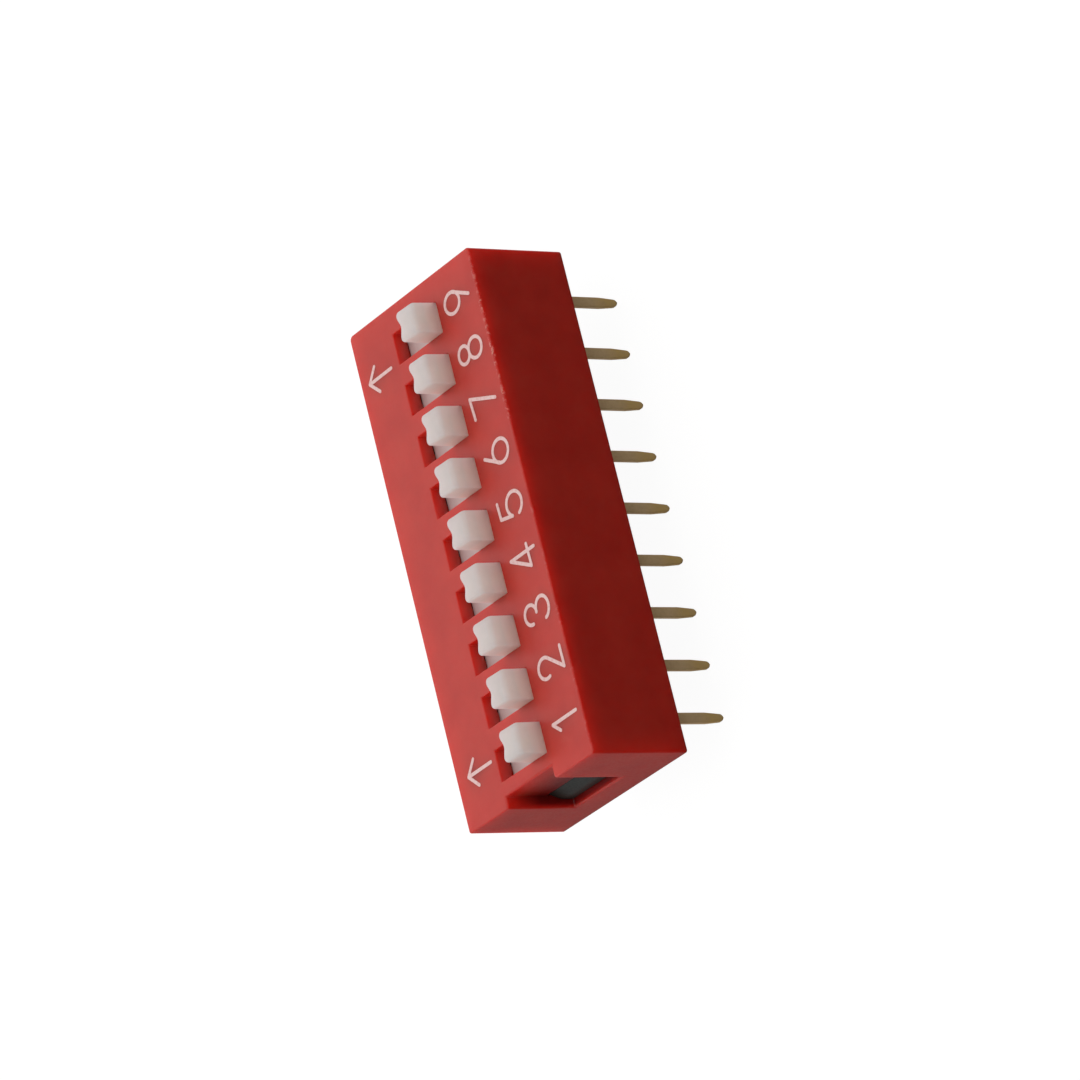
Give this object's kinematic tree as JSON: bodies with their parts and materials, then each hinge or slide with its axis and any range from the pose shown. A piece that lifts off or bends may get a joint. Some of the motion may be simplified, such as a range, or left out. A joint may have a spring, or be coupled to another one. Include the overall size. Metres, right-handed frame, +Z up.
{
  "type": "dip switch",
  "caption": "Through-hole slide DIP switch: raised actuators in a row slide along slots in a one-piece cover over two rows of flat board pins.",
  "frame": {"origin": "centre of the pin grid on the seating plane, which is the cover's lower rim and the board's top face", "axes": "+X from position 1 to the last position, +Y to the ON side, +Z up, away from the board; the pins point down"},
  "size_m": [0.0244, 0.0098, 0.0099],
  "materials": {
    "cover_red": "fine satin moulded surface",
    "print_white": "printed ink",
    "slider_white": "semi-gloss moulded surface",
    "base_black": "satin moulded surface",
    "pin_gold": "gold plated, satin",
    "contact_gold": "gold plated, satin"
  },
  "bodies": {
    "housing": {"cover": "cover_red", "base": "base_black", "numbers_terminal_1": "pin_gold", "numbers_terminal_2": "pin_gold", "numbers_terminal_3": "pin_gold", "numbers_terminal_4": "pin_gold", "numbers_terminal_5": "pin_gold", "numbers_terminal_6": "pin_gold", "numbers_terminal_7": "pin_gold", "numbers_terminal_8": "pin_gold", "numbers_terminal_9": "pin_gold", "on_terminal_1": "pin_gold", "on_terminal_2": "pin_gold", "on_terminal_3": "pin_gold", "on_terminal_4": "pin_gold", "on_terminal_5": "pin_gold", "on_terminal_6": "pin_gold", "on_terminal_7": "pin_gold", "on_terminal_8": "pin_gold", "on_terminal_9": "pin_gold"},
    "actuator_1": {"slider_1": "slider_white", "contact_1": "contact_gold"},
    "actuator_2": {"slider_2": "slider_white", "contact_2": "contact_gold"},
    "actuator_3": {"slider_3": "slider_white", "contact_3": "contact_gold"},
    "actuator_4": {"slider_4": "slider_white", "contact_4": "contact_gold"},
    "actuator_5": {"slider_5": "slider_white", "contact_5": "contact_gold"},
    "actuator_6": {"slider_6": "slider_white", "contact_6": "contact_gold"},
    "actuator_7": {"slider_7": "slider_white", "contact_7": "contact_gold"},
    "actuator_8": {"slider_8": "slider_white", "contact_8": "contact_gold"},
    "actuator_9": {"slider_9": "slider_white", "contact_9": "contact_gold"}
  },
  "joints": [
    {"name": "switch_1", "type": "slide", "parent": "housing", "child": "actuator_1", "axis": [0, 1, 0], "range_m": [0, 0.00215]},
    {"name": "switch_2", "type": "slide", "parent": "housing", "child": "actuator_2", "axis": [0, 1, 0], "range_m": [0, 0.00215]},
    {"name": "switch_3", "type": "slide", "parent": "housing", "child": "actuator_3", "axis": [0, 1, 0], "range_m": [0, 0.00215]},
    {"name": "switch_4", "type": "slide", "parent": "housing", "child": "actuator_4", "axis": [0, 1, 0], "range_m": [0, 0.00215]},
    {"name": "switch_5", "type": "slide", "parent": "housing", "child": "actuator_5", "axis": [0, 1, 0], "range_m": [0, 0.00215]},
    {"name": "switch_6", "type": "slide", "parent": "housing", "child": "actuator_6", "axis": [0, 1, 0], "range_m": [0, 0.00215]},
    {"name": "switch_7", "type": "slide", "parent": "housing", "child": "actuator_7", "axis": [0, 1, 0], "range_m": [0, 0.00215]},
    {"name": "switch_8", "type": "slide", "parent": "housing", "child": "actuator_8", "axis": [0, 1, 0], "range_m": [0, 0.00215]},
    {"name": "switch_9", "type": "slide", "parent": "housing", "child": "actuator_9", "axis": [0, 1, 0], "range_m": [0, 0.00215]}
  ]
}
